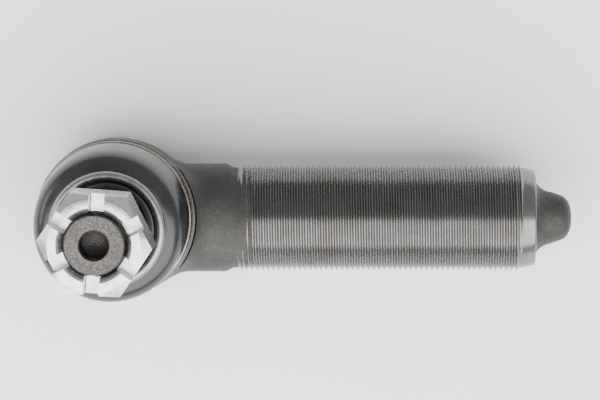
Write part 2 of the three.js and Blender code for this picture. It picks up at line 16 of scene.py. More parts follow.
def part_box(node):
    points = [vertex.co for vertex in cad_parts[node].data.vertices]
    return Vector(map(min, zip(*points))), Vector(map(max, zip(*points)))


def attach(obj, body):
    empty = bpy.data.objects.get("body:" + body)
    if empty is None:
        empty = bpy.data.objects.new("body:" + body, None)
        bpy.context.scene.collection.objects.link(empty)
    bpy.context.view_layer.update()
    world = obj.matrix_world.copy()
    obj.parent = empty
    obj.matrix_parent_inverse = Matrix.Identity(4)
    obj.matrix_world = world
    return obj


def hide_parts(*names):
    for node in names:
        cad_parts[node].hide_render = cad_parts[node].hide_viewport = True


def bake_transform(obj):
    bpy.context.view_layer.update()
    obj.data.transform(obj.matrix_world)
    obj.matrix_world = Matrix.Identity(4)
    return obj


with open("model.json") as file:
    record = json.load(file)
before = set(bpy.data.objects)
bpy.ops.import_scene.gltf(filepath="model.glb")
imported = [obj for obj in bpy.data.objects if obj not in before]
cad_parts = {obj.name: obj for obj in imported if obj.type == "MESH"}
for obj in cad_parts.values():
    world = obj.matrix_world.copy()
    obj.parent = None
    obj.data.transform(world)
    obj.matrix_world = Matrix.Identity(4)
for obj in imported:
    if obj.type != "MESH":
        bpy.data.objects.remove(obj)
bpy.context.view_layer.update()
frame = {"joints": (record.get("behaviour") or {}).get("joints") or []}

MM = 0.001
JOINTS = {joint["name"]: joint for joint in frame["joints"]}
BALL = Vector(JOINTS["stud_tilt"]["pos_m"])
TILT_AXIS = Vector(JOINTS["stud_tilt"]["axis"]).normalized()
STUD_AXIS = Vector(JOINTS["stud_spin"]["axis"]).normalized()
LEAN = STUD_AXIS.angle(Vector((0, 0, 1)))
BALL_HEIGHT = BALL.z / MM

# Places on the eye's axis and on the stud's own.
TO_EYE = Matrix.Translation(BALL)
TO_STUD = Matrix.Translation(BALL) @ Matrix.Rotation(LEAN, 4, TILT_AXIS)


def node_size(node):
    """Width, depth and height of a CAD node's box, in millimetres."""
    low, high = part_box(node)
    return [(b - a) / MM for a, b in zip(low, high)]


# ---------- Sizes, in millimetres ----------

EYE_RADIUS = node_size("housing_forging")[1] / 2 - 0.12
SHANK_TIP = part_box("housing_forging")[1][0] / MM
NOSE_LENGTH = 10.4
SHANK_END = SHANK_TIP - NOSE_LENGTH
EYE_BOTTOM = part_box("housing_forging")[0][2] / MM - BALL_HEIGHT
SHOULDER = 9
EYE_TOP = 14
NECK_HALF_WIDTH = 15.35
NECK_HALF_HEIGHT = 12.65
NECK_END = 31.1
NECK_RAMP = (32.3, 43.4)
BLANK_RADIUS = 16
THREAD_RADIUS = 15
THREAD_ROOT = 14.12
RUNOUT_RADIUS = 14.3
PITCH = 1.5
THREAD_START = 34.9

BALL_RADIUS = 14.97
STUD_END = 62
STUD_THREAD_RADIUS = 8.72
STUD_THREAD_ROOT = 7.95

NUT_ACROSS_FLATS = 27
NUT_HEIGHT = 15
NUT_TOP = 62.4
NUT_TURN = math.radians(-4)
SLOT_WIDTH = 4.2
SLOT_DEPTH = 5.5

BOOT_SEAT_RADIUS = 18.6
BASE_RING_INNER = 20.9
BASE_RING_OUTER = node_size("boot_base_ring")[0] / 2
BASE_RING_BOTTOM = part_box("boot_base_ring")[0][2] / MM - BALL_HEIGHT
BASE_RING_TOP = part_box("boot_base_ring")[1][2] / MM - BALL_HEIGHT
CAP_RING_INNER = 13.6
CAP_RING_OUTER = 16.3
CAP_RING_BOTTOM = 27.2
CAP_RING_TOP = 29.7
BOOT_BEND = (12.6, 24.6)


# ---------- Mesh helpers ----------


def smoothstep(value, low, high):
    share = np.clip((value - low) / (high - low), 0, 1)
    return share * share * (3 - 2 * share)


def add_object(name, mesh, material=None, crease=32):
    """A shown object from a finished mesh: smooth, with its edges over crease degrees kept sharp."""
    if material:
        mesh.materials.append(material)
    mesh.shade_smooth()
    mesh.set_sharp_from_angle(angle=math.radians(crease))
    piece = bpy.data.objects.new(name, mesh)
    bpy.context.scene.collection.objects.link(piece)
    return piece


def mesh_from(name, points, faces):
    """A mesh in metres from points in millimetres; equal points are joined and empty faces dropped."""
    points = np.asarray(points, float).reshape(-1, 3)
    keys = np.round(points * 1e5).astype(np.int64)
    _, first, where = np.unique(keys, axis=0, return_index=True, return_inverse=True)
    where = where.reshape(-1)
    loops = []
    for face in faces:
        corners = [int(where[i]) for i in face]
        ring = [c for k, c in enumerate(corners) if c != corners[k - 1]]
        if len(set(ring)) > 2:
            loops.append(ring)
    mesh = bpy.data.meshes.new(name)
    mesh.from_pydata((points[first] * MM).tolist(), [], loops)
    mesh.update()
    return outward(mesh)


def outward(mesh):
    """Turns every face out."""
    build = bmesh.new()
    build.from_mesh(mesh)
    bmesh.ops.recalc_face_normals(build, faces=build.faces)
    if build.calc_volume(signed=True) < 0:
        bmesh.ops.reverse_faces(build, faces=build.faces)
    build.to_mesh(mesh)
    build.free()
    return mesh


def rounded(corners, steps=4, closed=True):
    """An outline with its corners rounded: each corner is (x, y) or (x, y, radius)."""
    count = len(corners)
    outline = []
    for i, corner in enumerate(corners):
        here = Vector(corner[:2])
        radius = corner[2] if len(corner) > 2 else 0
        if not radius or (not closed and i in (0, count - 1)):
            outline.append(tuple(here))
            continue
        back = (Vector(corners[i - 1][:2]) - here).normalized()
        on = (Vector(corners[(i + 1) % count][:2]) - here).normalized()
        half = back.angle(on) / 2
        reach = radius / math.tan(half)
        centre = here + (back + on).normalized() * (radius / math.sin(half))
        first = here + back * reach - centre
        sweep = first.angle_signed(here + on * reach - centre)
        for k in range(steps + 1):
            turn = Matrix.Rotation(-sweep * k / steps, 2)
            outline.append(tuple(centre + turn @ first))
    return outline


def arc(centre, radius, start, end, steps):
    """Points along an arc, with angles in degrees from the first axis."""
    angles = np.radians(np.linspace(start, end, steps + 1))
    return [(centre[0] + radius * math.cos(a), centre[1] + radius * math.sin(a)) for a in angles]


def bezier(start, control_1, control_2, end, steps):
    """Points along a cubic curve, without its first one."""
    points = []
    for k in range(1, steps + 1):
        t = k / steps
        a, b, c, d = (1 - t) ** 3, 3 * t * (1 - t) ** 2, 3 * t * t * (1 - t), t ** 3
        points.append(tuple(a * start[i] + b * control_1[i] + c * control_2[i] + d * end[i] for i in (0, 1)))
    return points


def revolve(name, outline, segments=128, closed=True, place=TO_EYE):
    """Turns (radius, height) points about Z. An open outline starts and ends on the axis."""
    angles = np.arange(segments) * (2 * math.pi / segments)
    ring = np.stack([np.cos(angles), np.sin(angles)], axis=1)
    points = [(r * c, r * s, h) for r, h in outline for c, s in ring]
    rows = len(outline)
    faces = []
    for i in range(rows if closed else rows - 1):
        a, b = i * segments, ((i + 1) % rows) * segments
        for j in range(segments):
            k = (j + 1) % segments
            faces.append((a + j, a + k, b + k, b + j))
    mesh = mesh_from(name, points, faces)
    mesh.transform(place)
    return mesh


def boolean(name, mesh, other, operation):
    """mesh cut or joined with other, as a new mesh; each face keeps its own mesh's material."""
    base = bpy.data.objects.new(name + "_base", mesh)
    tool = bpy.data.objects.new(name + "_tool", other)
    for item in (base, tool):
        bpy.context.scene.collection.objects.link(item)
    modifier = base.modifiers.new("cut", "BOOLEAN")
    modifier.operation = operation
    modifier.solver = "MANIFOLD"
    modifier.material_mode = "TRANSFER"
    modifier.object = tool
    bpy.context.view_layer.update()
    result = bpy.data.meshes.new_from_object(base.evaluated_get(bpy.context.evaluated_depsgraph_get()))
    result.name = name
    for item in (base, tool):
        bpy.data.objects.remove(item)
    return result


# ---------- Procedural materials ----------


class Look:
    """A Principled material with helpers for procedural detail in object space."""

    def __init__(self, name, color, roughness, metallic, **sockets):
        self.material = bpy.data.materials.new(name)
        self.material.use_nodes = True
        self.nodes = self.material.node_tree.nodes
        self.links = self.material.node_tree.links
        self.shader = self.nodes["Principled BSDF"]
        self.shader.inputs["Base Color"].default_value = (*color, 1)
        self.shader.inputs["Roughness"].default_value = roughness
        self.shader.inputs["Metallic"].default_value = metallic
        for socket, value in sockets.items():
            self.shader.inputs[socket.replace("_", " ")].default_value = value
        self.place = self.nodes.new("ShaderNodeTexCoord").outputs["Object"]
        self.normal = None

    def scaled(self, factors):
        mapping = self.nodes.new("ShaderNodeMapping")
        mapping.inputs["Scale"].default_value = factors
        self.links.new(self.place, mapping.inputs["Vector"])
        return mapping.outputs["Vector"]

    def noise(self, size_mm, detail=3, roughness=0.5, stretch=(1, 1, 1)):
        """Noise with features about size_mm across."""
        node = self.nodes.new("ShaderNodeTexNoise")
        node.inputs["Scale"].default_value = 1 / (size_mm * MM)
        node.inputs["Detail"].default_value = detail
        node.inputs["Roughness"].default_value = roughness
        self.links.new(self.scaled(stretch), node.inputs["Vector"])
        return node.outputs["Fac"]

    def ramp(self, source, stops):
        """Colours or greys along a value: stops are (position, colour or grey)."""
        node = self.nodes.new("ShaderNodeValToRGB")
        elements = node.color_ramp.elements
        while len(elements) < len(stops):
            elements.new(0.5)
        for element, (position, value) in zip(elements, stops):
            element.position = position
            element.color = (*value, 1) if isinstance(value, tuple) else (value, value, value, 1)
        self.links.new(source, node.inputs["Fac"])
        return node.outputs["Color"]

    def mix(self, share, a, b):
        """Mixes two colours, each a socket or three numbers, by a share that is a socket or a number."""
        node = self.nodes.new("ShaderNodeMix")
        node.data_type = "RGBA"
        sockets = {s.name: s for s in node.inputs if s.type == "RGBA"}
        if isinstance(share, float):
            node.inputs["Factor"].default_value = share
        else:
            self.links.new(share, node.inputs["Factor"])
        for socket, value in ((sockets["A"], a), (sockets["B"], b)):
            if isinstance(value, tuple):
                socket.default_value = (*value, 1)
            else:
                self.links.new(value, socket)
        return next(s for s in node.outputs if s.type == "RGBA")

    def bump(self, height, depth_mm, strength=1.0):
        node = self.nodes.new("ShaderNodeBump")
        node.inputs["Strength"].default_value = strength
        node.inputs["Distance"].default_value = depth_mm * MM
        self.links.new(height, node.inputs["Height"])
        if self.normal:
            self.links.new(self.normal, node.inputs["Normal"])
        self.normal = node.outputs["Normal"]
        self.links.new(self.normal, self.shader.inputs["Normal"])

    def feed(self, socket, source):
        self.links.new(source, self.shader.inputs[socket])


def forged_look():
    """Phosphated forging: matt, grainy, greenish to brownish grey with darker pits."""
    look = Look("forged_steel", (0.05, 0.049, 0.046), 0.6, 0.5)
    mottle = look.noise(5, detail=4, roughness=0.6)
    tone = look.ramp(mottle, [(0.3, (0.04, 0.041, 0.039)), (0.5, (0.052, 0.05, 0.047)),
                              (0.7, (0.066, 0.061, 0.056))])
    grain = look.noise(0.45, detail=5, roughness=0.7)
    speck = look.ramp(grain, [(0.38, 0.0), (0.62, 1.0)])
    pits = look.mix(mottle, (0.028, 0.028, 0.026), (0.042, 0.039, 0.035))
    look.feed("Base Color", look.mix(speck, pits, tone))
    look.feed("Roughness", look.ramp(grain, [(0.3, 0.72), (0.7, 0.48)]))
    look.bump(grain, 0.05, 0.7)
    look.bump(look.noise(1.6, detail=3), 0.12, 0.5)
    return look.material


def machined_look():
    """Cut thread and turned faces: dark bare steel with fine tool marks round the shank."""
    look = Look("machined_steel", (0.2, 0.2, 0.2), 0.26, 0.95)
    streak = look.noise(0.8, detail=3, roughness=0.5, stretch=(3, 1, 1))
    stain = look.noise(7, detail=3)
    bright = look.ramp(streak, [(0.3, (0.16, 0.16, 0.163)), (0.7, (0.22, 0.217, 0.213))])
    stained = look.ramp(stain, [(0.35, 0.0), (0.7, 1.0)])
    look.feed("Base Color", look.mix(stained, bright, (0.16, 0.152, 0.143)))
    look.feed("Roughness", look.ramp(streak, [(0.3, 0.32), (0.7, 0.18)]))
    look.bump(streak, 0.012, 0.6)
    return look.material


def zinc_look(name, color, roughness, dull):
    """Zinc plating: bright, with cloudy patches and faint scratches."""
    look = Look(name, color, roughness, 1.0)
    cloud = look.noise(2.4, detail=4, roughness=0.6)
    fine = look.noise(0.3, detail=4, roughness=0.65)
    look.feed("Base Color", look.mix(look.ramp(cloud, [(0.35, 0.0), (0.65, 1.0)]), color, dull))
    look.feed("Roughness", look.ramp(fine, [(0.3, roughness + 0.09), (0.7, roughness - 0.05)]))
    look.bump(fine, 0.01, 0.5)
    look.bump(look.noise(1.1, detail=2), 0.1, 0.35)
    look.bump(look.noise(5, detail=2), 0.2, 0.3)
    return look.material


def strip_look():
    """Bright strip with a copper cast that comes and goes round the ring."""
    look = Look("base_ring_steel", (0.6, 0.52, 0.44), 0.26, 1.0)
    cast = look.noise(9, detail=2)
    fine = look.noise(0.35, detail=3)
    look.feed("Base Color", look.ramp(cast, [(0.4, (0.3, 0.29, 0.275)), (0.62, (0.29, 0.22, 0.17))]))
    look.feed("Roughness", look.ramp(fine, [(0.3, 0.34), (0.7, 0.2)]))
    look.bump(fine, 0.008, 0.5)
    return look.material


def boot_look():
    """Glossy black moulded rubber with a faint orange peel and a few dust specks."""
    look = Look("boot_rubber", (0.012, 0.0125, 0.0145), 0.3, 0.0, Specular_IOR_Level=0.55)
    haze = look.noise(8, detail=3)
    dust = look.noise(0.9, detail=1)
    specks = look.ramp(dust, [(0.745, 0.0), (0.78, 1.0)])
    body = look.ramp(haze, [(0.35, (0.0105, 0.011, 0.013)), (0.7, (0.019, 0.02, 0.023))])
    look.feed("Base Color", look.mix(specks, body, (0.05, 0.05, 0.05)))
    look.feed("Roughness", look.ramp(haze, [(0.3, 0.2), (0.75, 0.32)]))
    look.bump(look.noise(0.5, detail=2), 0.008, 0.35)
    look.bump(look.noise(3.5, detail=2), 0.05, 0.25)
    return look.material


def stud_look(name, shade):
    """Stud steel: grainy grey-brown, darker in its pits; shade mixes in painted shade, for the thread in the
    gap inside the nut and for the centre hole.
    """
    look = Look(name, (0.12, 0.11, 0.1), 0.5, 0.8)
    grain = look.noise(0.42, detail=5, roughness=0.75)
    cloud = look.noise(3, detail=3)
    speck = look.ramp(grain, [(0.36, (0.03, 0.028, 0.026)), (0.5, (0.085, 0.08, 0.075)),
                              (0.66, (0.19, 0.18, 0.172))])
    tone = look.mix(look.ramp(cloud, [(0.35, 0.0), (0.7, 0.6)]), speck, (0.062, 0.054, 0.048))
    # Mixing towards near-black by shade paints shade into the thread's gap and the centre hole.
    look.feed("Base Color", look.mix(shade, tone, (0.012, 0.011, 0.01)))
    look.feed("Roughness", look.ramp(grain, [(0.35, 0.6), (0.65, 0.32)]))
    look.bump(grain, 0.03, 0.6)
    return look.material


def cover_look():
    """Pressed steel cover, turned: fine rings round the eye's axis."""
    look = Look("cover_steel", (0.4, 0.39, 0.37), 0.34, 0.95)
    wave = look.nodes.new("ShaderNodeTexWave")
    wave.wave_type = "RINGS"
    wave.rings_direction = "Z"
    wave.inputs["Scale"].default_value = 620
    wave.inputs["Distortion"].default_value = 0.6
    look.links.new(look.place, wave.inputs["Vector"])
    stain = look.noise(6, detail=4)
    look.feed("Base Color", look.ramp(stain, [(0.35, (0.3, 0.29, 0.27)), (0.65, (0.46, 0.45, 0.43))]))
    look.feed("Roughness", look.ramp(stain, [(0.3, 0.42), (0.7, 0.28)]))
    look.bump(wave.outputs["Fac"], 0.01, 0.6)
    return look.material


def seat_look():
    """Natural acetal with a smear of grease."""
    look = Look("seat_plastic", (0.78, 0.74, 0.62), 0.42, 0.0, Subsurface_Weight=0.1)
    smear = look.noise(4, detail=3)
    look.feed("Base Color", look.ramp(smear, [(0.4, (0.8, 0.77, 0.66)), (0.7, (0.68, 0.6, 0.42))]))
    look.feed("Roughness", look.ramp(smear, [(0.4, 0.48), (0.7, 0.22)]))
    look.bump(look.noise(0.6, detail=2), 0.02, 0.3)
    return look.material


def spring_look():
    """Blued spring steel."""
    look = Look("spring_steel", (0.2, 0.21, 0.24), 0.32, 0.95)
    cloud = look.noise(3, detail=3)
    look.feed("Base Color", look.ramp(cloud, [(0.35, (0.14, 0.15, 0.2)), (0.7, (0.28, 0.27, 0.27))]))
    look.feed("Roughness", look.ramp(cloud, [(0.3, 0.4), (0.7, 0.25)]))
    look.bump(look.noise(0.4, detail=3), 0.01, 0.5)
    return look.material


def seal_look():
    """Matt black seal rubber."""
    look = Look("seal_rubber", (0.015, 0.015, 0.015), 0.6, 0.0)
    grain = look.noise(0.3, detail=3)
    look.feed("Base Color", look.ramp(grain, [(0.3, 0.01), (0.7, 0.022)]))
    look.feed("Roughness", look.ramp(grain, [(0.3, 0.7), (0.7, 0.5)]))
    look.bump(grain, 0.01, 0.5)
    return look.material


# ---------- Forged blank: the eye and its neck as one smooth body ----------


def smooth_union(a, b, width):
    share = np.clip(0.5 + 0.5 * (b - a) / width, 0, 1)
    return b + (a - b) * share - width * share * (1 - share)


def smooth_intersection(a, b, width):
    return -smooth_union(-a, -b, width)


def blank_half_height(x):
    rise = smoothstep(x, *NECK_RAMP)
    return NECK_HALF_HEIGHT + (BLANK_RADIUS - NECK_HALF_HEIGHT) * rise


def blank_distance(x, y, h):
    """Signed distance, nearly, to the forged blank; h is the height above the ball."""
    flash = 0.14 * np.exp(-((h / 0.9) ** 2))
    around = np.hypot(x, y)
    draft = EYE_RADIUS - 0.14 - 0.024 * np.abs(h)
    eye = smooth_intersection(around - draft, EYE_BOTTOM - h, 3.2)
    eye = smooth_intersection(eye, h - EYE_TOP, 1.0)
    half_height = blank_half_height(x)
    half_width = np.where(x > NECK_RAMP[1], BLANK_RADIUS, NECK_HALF_WIDTH - 0.14)
    oval = np.hypot(y / half_width, h / half_height)
    neck = (oval - 1) * np.minimum(half_height, half_width)
    neck = np.maximum(neck, -4 - x)
    fillet = 3.2 + 4.0 * smoothstep(np.abs(h), 5, NECK_HALF_HEIGHT)
    return smooth_union(eye, neck, fillet) - flash


def gradient(x, y, h, step=0.02):
    return np.stack([
        blank_distance(x + step, y, h) - blank_distance(x - step, y, h),
        blank_distance(x, y + step, h) - blank_distance(x, y - step, h),
        blank_distance(x, y, h + step) - blank_distance(x, y, h - step),
    ], axis=-1) / (2 * step)


def surface_net(low, high, cell):
    """Points and quads of the blank's surface inside a box, one point in each cell it passes through."""
    axes = [np.arange(a, b + cell, cell) for a, b in zip(low, high)]
    x, y, h = np.meshgrid(*axes, indexing="ij")
    value = blank_distance(x, y, h)
    edge = np.minimum.reduce([x - low[0], high[0] - x, y - low[1], high[1] - y, h - low[2], high[2] - h])
    value = np.maximum(value, cell * 1.01 - edge)
    inside = value < 0
    cells = tuple(n - 1 for n in value.shape)
    total = np.zeros((*cells, 3))
    count = np.zeros(cells)
    corners = [(i, j, k) for i in (0, 1) for j in (0, 1) for k in (0, 1)]
    for a in corners:
        for axis in range(3):
            if a[axis]:
                continue
            b = tuple(a[n] + (n == axis) for n in range(3))
            cut_a = tuple(slice(a[n], a[n] + cells[n]) for n in range(3))
            cut_b = tuple(slice(b[n], b[n] + cells[n]) for n in range(3))
            crosses = inside[cut_a] != inside[cut_b]
            va, vb = value[cut_a][crosses], value[cut_b][crosses]
            offset = np.tile(np.array(a, float), (len(va), 1))
            offset[:, axis] += va / (va - vb)
            total[crosses] += offset
            count[crosses] += 1
    used = count > 0
    index = -np.ones(cells, int)
    index[used] = np.arange(used.sum())
    origin = np.array([a[0] for a in axes])
    points = origin + (np.argwhere(used) + total[used] / count[used][:, None]) * cell
    faces = []
    for axis in range(3):
        u, v = [n for n in range(3) if n != axis]
        here = tuple(slice(1, cells[n]) if n != axis else slice(0, cells[n]) for n in range(3))
        step = tuple(slice(s.start + (n == axis), s.stop + (n == axis)) for n, s in enumerate(here))
        for i, j, k in np.argwhere(inside[here] != inside[step]):
            base = np.array([i, j, k]) + [s.start for s in here]
            ring = []
            for du, dv in ((0, 0), (-1, 0), (-1, -1), (0, -1)):
                spot = base.copy()
                spot[u] += du
                spot[v] += dv
                ring.append(int(index[tuple(spot)]))
            faces.append(ring)
    return points, faces


def forged_blank(material):
    """The eye and neck, blended where they meet, with a forging's slight waviness."""
    low = (-EYE_RADIUS - 2, -EYE_RADIUS - 2, EYE_BOTTOM - 2)
    high = (48, EYE_RADIUS + 2, EYE_TOP + 4)
    points, faces = surface_net(low, high, 0.6)
    free = points[:, 0] < high[0] - 2
    for _ in range(3):
        x, y, h = points[free].T
        slope = gradient(x, y, h)
        size = np.maximum((slope ** 2).sum(axis=1), 0.25)
        points[free] -= slope * (blank_distance(x, y, h) / size)[:, None]
    waves = np.array([0.05 * noise.noise(Vector(p) / 3.2) + 0.02 * noise.noise(Vector(p) / 1.1)
                      for p in points])
    slope = gradient(*points.T)
    slope /= np.maximum(np.linalg.norm(slope, axis=1), 0.2)[:, None]
    points += slope * (waves - 0.04)[:, None]
    mesh = mesh_from("forged_blank", points, faces)
    mesh.transform(TO_EYE)
    mesh.materials.append(material)
    return mesh


# ---------- Threaded shafts ----------


def thread_height(phase):
    """Share of the thread's depth at a place in its pitch: a narrow crest, straight flanks, a round root."""
    away = np.abs((phase + 0.5) % 1 - 0.5)
    return np.interp(away, [0, 0.05, 0.09, 0.38, 0.44, 0.5], [1, 1, 0.93, 0.07, 0.0, 0.0])


THREAD_ROWS = (0.0, 0.05, 0.09, 0.38, 0.44, 0.56, 0.62, 0.91, 0.95)


def threaded_shaft(name, outline, zone, pitch, crest, root, segments):
    """A solid turned about Z with a right-hand thread cut into zone.

    outline gives (radius, height) points, and limits the thread too. The thread's rows slant along
    its helix and are pressed flat against the ends of the zone, so that they join the plain rings.
    """
    share = np.arange(segments + 1) / segments
    radii = np.array([r for r, _ in outline])
    heights = np.array([h for _, h in outline])
    first, last = math.floor(zone[0] / pitch) - 2, math.ceil(zone[1] / pitch) + 1
    starts = np.array([(n + phase) * pitch for n in range(first, last) for phase in THREAD_ROWS])
    rows = np.clip(starts[:, None] + pitch * share[None, :], *zone)
    depth = thread_height(rows / pitch - share[None, :])
    inside = (heights >= zone[0]) & (heights <= zone[1])
    limit = np.interp(rows, heights[inside], radii[inside])
    cut = np.minimum(limit, root + (crest - root) * depth)
    below = heights < zone[0]
    above = heights > zone[1]
    plain = lambda pick: (np.repeat(radii[pick][:, None], segments + 1, 1),
                          np.repeat(heights[pick][:, None], segments + 1, 1))
    r = np.concatenate([plain(below)[0], cut, plain(above)[0]])
    h = np.concatenate([plain(below)[1], rows, plain(above)[1]])
    angle = (np.arange(segments + 1) % segments) * (2 * math.pi / segments)
    points = np.stack([r * np.cos(angle), r * np.sin(angle), h], axis=-1)
    width = segments + 1
    i, j = np.meshgrid(np.arange(len(r) - 1), np.arange(segments), indexing="ij")
    a = (i * width + j).reshape(-1)
    faces = np.stack([a, a + 1, a + 1 + width, a + width], axis=1).tolist()
    return mesh_from(name, points, faces)


def turned_shank(machined, forged):
    """All that the lathe leaves of the shank, which clears the eye, and the forged nose."""
    chamfer_slope = (NECK_HALF_WIDTH - RUNOUT_RADIUS) / 2
    outline = [(0, -30), (40, -30), (40, NECK_END - 3 / chamfer_slope)]
    outline += [(NECK_HALF_WIDTH + 3, NECK_END - 3 / chamfer_slope + 0.01)]
    outline += [(RUNOUT_RADIUS + 0.12, NECK_END + 1.85), (RUNOUT_RADIUS, NECK_END + 2.1)]
    outline += [(RUNOUT_RADIUS, THREAD_START - 0.4), (THREAD_ROOT - 0.05, THREAD_START - 0.2)]
    outline += [(THREAD_ROOT - 0.02, THREAD_START), (THREAD_RADIUS, THREAD_START + 0.8)]
    outline += [(THREAD_RADIUS, SHANK_END - 4.6), (14.28, SHANK_END - 3.9), (13.62, SHANK_END - 1)]
    outline += [(13.5, SHANK_END - 0.5), (13.35, SHANK_END - 0.22), (13.05, SHANK_END - 0.05)]
    outline += [(12.8, SHANK_END)]
    nose = [(11.3, SHANK_END + 0.02)]
    at = lambda share: SHANK_END + share * NOSE_LENGTH
    nose += bezier(nose[0], (9.5, at(0.03)), (8.4, at(0.13)), (7.65, at(0.33)), 10)
    nose += bezier(nose[-1], (7.1, at(0.5)), (6.7, at(0.66)), (6.1, at(0.76)), 8)
    nose += bezier(nose[-1], (5.1, at(0.92)), (3.4, at(0.997)), (0, at(0.997)), 14)
    zone = (THREAD_START, SHANK_END - 1)
    mesh = threaded_shaft("turned_shank", outline + nose, zone, PITCH, THREAD_RADIUS - 0.03, THREAD_ROOT, 144)
    for vertex in mesh.vertices:
        here = vertex.co / MM
        if here.z > SHANK_END + 0.1:
            wave = 0.1 * noise.noise(here / 3) + 0.03 * noise.noise(here / 0.9)
            out = Vector((here.x, here.y, 0)).normalized()
            vertex.co += out * (wave * MM) * min(1, (here.z - SHANK_END) / 2)
    mesh.materials.append(machined)
    mesh.materials.append(forged)
    for polygon in mesh.polygons:
        along = polygon.center.z / MM
        polygon.material_index = int(along > SHANK_END + 0.02 or along < THREAD_START - 0.3)
    mesh.transform(Matrix.Translation(BALL) @ Matrix.Rotation(math.pi / 2, 4, "Y"))
    return mesh


def cutter(name, outline, material, segments=192):
    mesh = revolve(name, outline, segments)
    mesh.materials.append(material)
    return mesh


def boot_turning(material):
    """Shoulder, seat and clearance for the boot's base, cut into the top of the eye."""
    outer = BASE_RING_OUTER + 1.3
    corners = [(BOOT_SEAT_RADIUS, SHOULDER, 0.3), (outer, SHOULDER, 0.5), (outer + 0.1, EYE_TOP - 1.9),
               (outer + 1.0, EYE_TOP + 8), (0, EYE_TOP + 8), (0, EYE_TOP), (BOOT_SEAT_RADIUS - 0.6, EYE_TOP),
               (BOOT_SEAT_RADIUS, EYE_TOP - 0.6, 0.2), (BOOT_SEAT_RADIUS, SHOULDER + 3)]
    return cutter("boot_turning", rounded(corners), material)


def socket_cavity(material):
    """The socket's bore, open below for the cover and narrowed to the stud's mouth above."""
    floor = -BALL_HEIGHT
    corners = [(0, floor - 1), (18.95, floor - 1), (18.95, floor + 0.35), (18.95, floor + 0.45),
               (19.7, floor + 1.2),
               (19.7, floor + 2.7), (18.9, floor + 2.7), (18.9, floor + 4.2), (17.6, floor + 4.2),
               (17.6, 3.2), (13.9, 8.6, 0.8), (16, EYE_TOP - 0.02, 0.4), (16.6, EYE_TOP + 2),
               (0, EYE_TOP + 2)]
    return cutter("socket_cavity", rounded(corners), material)


def housing(forged, machined):
    """Eye, neck, threaded shank and nose in one body."""
    sleeve = cutter("blank_sleeve", [(0, 44), (18, 44), (18, SHANK_TIP + 4), (0, SHANK_TIP + 4)], forged, 48)
    sleeve.transform(TO_EYE @ Matrix.Rotation(math.pi / 2, 4, "Y") @ TO_EYE.inverted())
    mesh = boolean("blank", forged_blank(forged), sleeve, "UNION")
    mesh = boolean("shank", mesh, turned_shank(machined, forged), "INTERSECT")
    mesh = boolean("seat", mesh, boot_turning(machined), "DIFFERENCE")
    mesh = boolean("housing", mesh, socket_cavity(machined), "DIFFERENCE")
    piece = add_object("housing_body", mesh, crease=34)
    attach(piece, "housing")
    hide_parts("housing_forging")
    return piece


# ---------- Ball stud and castle nut ----------


def cone_radius(height):
    return 10.9 - (height - 23) / 16


def stud(material, painted_shade):
    """Ball, neck, 1:8 cone, threaded end, centre hole and split-pin hole."""
    flat = math.degrees(math.acos(6.3 / BALL_RADIUS))
    neck = math.degrees(math.acos(8.5 / BALL_RADIUS))
    outline = [(0, -BALL_RADIUS * math.sin(math.radians(flat)))]
    outline += arc((0, 0), BALL_RADIUS, -flat, neck, 40)
    outline += bezier(outline[-1], (8.45, 12.9), (8.45, 14), (8.45, 15.5), 5)
    outline += [(8.45, 19)]
    outline += bezier(outline[-1], (8.45, 21), (9.6, 22.3), (10.9, 23), 8)
    outline += [(cone_radius(24), 24), (cone_radius(44.7), 44.7), (cone_radius(45) - 0.25, 45)]
    outline += [(8.1, 45.6), (7.9, 46.0), (7.9, 46.35)]
    zone = (46.4, STUD_END - 0.3)
    outline += [(STUD_THREAD_ROOT - 0.02, zone[0]), (STUD_THREAD_RADIUS, zone[0] + 0.8)]
    outline += [(STUD_THREAD_RADIUS, STUD_END - 1.3), (8.12, zone[1])]
    outline += [(8.02, STUD_END - 0.1), (7.9, STUD_END), (0, STUD_END)]
    mesh = threaded_shaft("stud", outline, zone, PITCH, STUD_THREAD_RADIUS, STUD_THREAD_ROOT, 96)
    mesh.materials.append(material)
    mesh.materials.append(painted_shade)
    # Thread faces inside the nut take the dark material: painted shade for the gap round the stud's end.
    for polygon in mesh.polygons:
        here = polygon.center / MM
        threaded = here.z > zone[0] and math.hypot(here.x, here.y) > STUD_THREAD_ROOT - 0.05
        polygon.material_index = int(threaded and here.z < STUD_END - 0.35)
    mesh.transform(TO_STUD)
    hole = [(0, STUD_END - 8.4), (3.85, STUD_END - 6), (3.85, STUD_END - 0.45), (4.25, STUD_END + 0.02),
            (4.6, STUD_END + 1), (0, STUD_END + 1)]
    centre_hole = revolve("centre_hole", hole, 64, place=TO_STUD)
    # The centre hole takes the dark material too: painted shade in the hole.
    centre_hole.materials.append(painted_shade)
    mesh = boolean("stud", mesh, centre_hole, "DIFFERENCE")
    height = NUT_TOP - SLOT_DEPTH + 2.45
    pin = revolve("pin_hole", [(0, -14), (2.25, -14), (2.25, 14), (0, 14)], 40, place=Matrix())
    lie = Matrix.Rotation(NUT_TURN, 4, "Z") @ Matrix.Rotation(math.pi / 2, 4, "X")
    pin.transform(TO_STUD @ Matrix.Translation((0, 0, height * MM)) @ lie)
    pin.materials.append(material)
    mesh = boolean("stud", mesh, pin, "DIFFERENCE")
    piece = add_object("stud_body", mesh, crease=34)
    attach(piece, "stud")
    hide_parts("ball_stud")
    return piece


def prism(name, corners, bottom, top):
    """An upright prism on plan corners in millimetres."""
    points = [(x, y, z) for z in (bottom, top) for x, y in corners]
    count = len(corners)
    faces = [tuple(range(count)), tuple(range(count, 2 * count))]
    faces += [(i, (i + 1) % count, (i + 1) % count + count, i + count) for i in range(count)]
    return mesh_from(name, points, faces)


